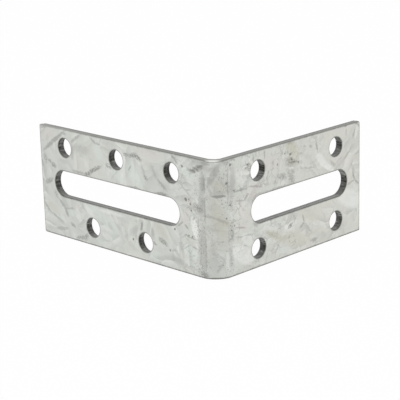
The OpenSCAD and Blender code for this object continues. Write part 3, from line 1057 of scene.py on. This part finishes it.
def bare_steel(name, steel):
    """A cut edge in four greys. Level stretches have fewer scores than walls and a lighter grey, which is
    painted light from the sky and the floor.
    """
    finish, shader, start = new_finish(name)
    cut = read_cut(start)
    polished_highlight = polished_skin_highlight(cut)
    torn = (cut.depth + (cut.grit - NOISE_MIDDLE) * TORN_WANDER).ramp(*TORN_BELOW)
    # Level stretches, facing up or down, get the lighter grey: painted light from the sky and the floor.
    level = cut.facing_up * cut.facing_up
    scored = steel.scoring - level * (SCORING_LOST_ON_LEVEL * steel.scoring)
    layers = [
        Layer(steel.level, level),
        Layer(steel.bright, torn * scored, share=0.18),
        Layer(steel.dark, cut.scores.ramp(*SCORE_DARK) * scored),
        Layer(steel.bright, cut.scores.ramp(*SCORE_BRIGHT) * scored, share=0.8),
        # Painted glint: a highlight painted on the short leg's downward-facing walls.
        Layer(steel.bright, painted_glint_wall(cut) * cut.scores.ramp(*SCORE_GLINT) * scored),
        Layer(steel.dark, cut.patches.ramp(*PATCH_DARK), share=PATCH_SHARE + scored * PATCH_SHARE_IN_SCORES),
        Layer(steel.dark, cut.grit.ramp(*GRIT_DARK), share=0.5),
        Layer(steel.bright, cut.grit.ramp(*GRIT_BRIGHT), share=0.4),
        Layer(steel.bright, stretched_skin(cut), share=0.6),
        Layer(ZINC_COOL, dragged_zinc(cut), share=steel.smear),
        # Painted highlight on the polished rim at the top of the bend.
        Layer(STEEL_POLISHED_HIGHLIGHT, polished_highlight),
    ]
    colour = layered(steel.even, layers)
    roughness = weighted(STEEL_ROUGHNESS, [(torn, 0.2), (polished_highlight, -0.2)])
    relief = weighted(0, [(cut.scores, steel.scoring), (cut.grit, 0.5)]).bump(STEEL_BUMP, STEEL_RELIEF)
    feed(shader, Base_Color=colour, Roughness=roughness, Metallic=STEEL_METALLIC, Normal=relief)
    return finish


slit_edge = bare_steel("slit_edge", SLIT_STEEL)
punched_wall = bare_steel("punched_wall", PUNCHED_STEEL_AND_SHADE)
sheet_mesh.materials.append(slit_edge)
sheet_mesh.materials.append(punched_wall)
print("Bare steel:", len(slit_edge.node_tree.nodes), "nodes each")

# %% [markdown]
# ## Camera
#
# The camera looks at the corner of the bend from a little above. Its place was found by fitting the edges
# and holes of the measured part to the picture, so the lens, the small roll and the offset of the bend
# from the middle of the picture are part of the view and not a matter of taste.

# %% Place the camera
VIEW_AZIMUTH = math.radians(44.87)
VIEW_ELEVATION = math.radians(16.18)
VIEW_ROLL = math.radians(1.61)
VIEW_DISTANCE = 340.9 * MM
BEND_OFFSET_RIGHT = 3.87 * MM
BEND_OFFSET_UP = -5.60 * MM
SENSOR_W = 36.0
LENS = 128.37
NEAREST_SEEN = 10 * MM

level_back = Vector((math.sin(VIEW_AZIMUTH), -math.cos(VIEW_AZIMUTH), 0))
level_right = Vector((math.cos(VIEW_AZIMUTH), math.sin(VIEW_AZIMUTH), 0))
back = math.cos(VIEW_ELEVATION) * level_back + math.sin(VIEW_ELEVATION) * Vector((0, 0, 1))
level_up = back.cross(level_right)
right = math.cos(VIEW_ROLL) * level_right - math.sin(VIEW_ROLL) * level_up
up = math.sin(VIEW_ROLL) * level_right + math.cos(VIEW_ROLL) * level_up
heel_middle = Vector((heel_x, heel_y, strip_w / 2))

camera_data = bpy.data.cameras.new("camera")
camera_data.sensor_width = SENSOR_W
camera_data.lens = LENS
camera_data.clip_start = NEAREST_SEEN
camera = bpy.data.objects.new("camera", camera_data)
bpy.context.scene.collection.objects.link(camera)
eye = heel_middle - right * BEND_OFFSET_RIGHT - up * BEND_OFFSET_UP + back * VIEW_DISTANCE
camera.matrix_world = Matrix.Translation(eye) @ Matrix((right, up, back)).transposed().to_4x4()
bpy.context.scene.camera = camera
print("Camera at, in mm:", [round(side / MM, 1) for side in eye])

# %% [markdown]
# ## Floor
#
# The bracket stands on a plain white floor. A brighter lamp would whiten the floor but wash out the zinc
# as well. So rays from the camera and from reflections mostly see the floor glowing at a strength of one,
# while the rest of it is an ordinary pale surface that keeps the bracket's shadow.

# %% Lay the floor
FLOOR_SIDE = 8.0
WHITE = (1, 1, 1, 1)
FLOOR_WHITE = (0.95, 0.95, 0.95, 1)
FLOOR_ROUGHNESS = 0.9
FLOOR_GLOW = 0.97

floor_mesh = bpy.data.meshes.new("floor")
half = FLOOR_SIDE / 2
corners = [(-half, -half, low.z), (half, -half, low.z), (half, half, low.z), (-half, half, low.z)]
floor_mesh.from_pydata(corners, [], [range(len(corners))])
floor = bpy.data.objects.new("floor", floor_mesh)
bpy.context.scene.collection.objects.link(floor)

pale_floor, floor_shader, floor_start = new_finish("pale_floor")
feed(floor_shader, Base_Color=FLOOR_WHITE, Roughness=FLOOR_ROUGHNESS)


def seen_directly(wire):
    """1 for rays from the camera, from a reflection or through glass, and 0 for light that only scatters."""
    paths = [wire.node("ShaderNodeLightPath", out=name)
             for name in ("Is Camera Ray", "Is Glossy Ray", "Is Transmission Ray")]
    return paths[0].larger(paths[1]).larger(paths[2])


plain = Wire(pale_floor.node_tree, floor_shader.outputs["BSDF"])
glow = floor_start.node("ShaderNodeEmission", None, {"Color": WHITE, "Strength": 1.0})
glow_share = seen_directly(floor_start) * FLOOR_GLOW
mixed = floor_start.node("ShaderNodeMixShader", None, {0: glow_share, 1: plain, 2: glow})
pale_floor.node_tree.links.new(mixed.socket, pale_floor.node_tree.nodes["Material Output"].inputs["Surface"])
floor_mesh.materials.append(pale_floor)
print("Floor at, in mm:", round(low.z / MM, 2))

# %% [markdown]
# ## Light
#
# The light is that of a white studio. A panoramic picture of one could be wrapped round the scene, but a
# sky of even strength and two square panels are easier to adjust. The stronger panel stands in front of
# the long leg and the weaker one in front of the short leg, which gives the soft step of tone between the
# two.

# %% Light the studio
FILL = 0.70
PANEL_SIDE = 0.5
KEY_POWER = 0.75
KEY_PLACE = Vector((-0.10, -0.45, 0.55))
SIDE_POWER = 0.45
SIDE_PLACE = Vector((0.55, 0.05, 0.40))

world = bpy.data.worlds.new("studio")
world.use_nodes = True
bpy.context.scene.world = world
sky = Wire(world.node_tree)
background = world.node_tree.nodes["Background"]
strength = FILL + seen_directly(sky) * (1 - FILL)
background.inputs["Color"].default_value = WHITE
world.node_tree.links.new(strength.socket, background.inputs["Strength"])


def soft_lamp(name, place, power):
    """A square panel of light that faces the bracket."""
    lamp_data = bpy.data.lights.new(name, "AREA")
    lamp_data.energy = power
    lamp_data.size = PANEL_SIDE
    lamp = bpy.data.objects.new(name, lamp_data)
    lamp.location = place
    lamp.rotation_euler = (heel_middle - place).to_track_quat("-Z", "Y").to_euler()
    bpy.context.scene.collection.objects.link(lamp)


soft_lamp("key_panel", KEY_PLACE, KEY_POWER)
soft_lamp("side_panel", SIDE_PLACE, SIDE_POWER)
bpy.context.scene.view_settings.view_transform = "Standard"
print("Lamps:", len(bpy.data.lights))
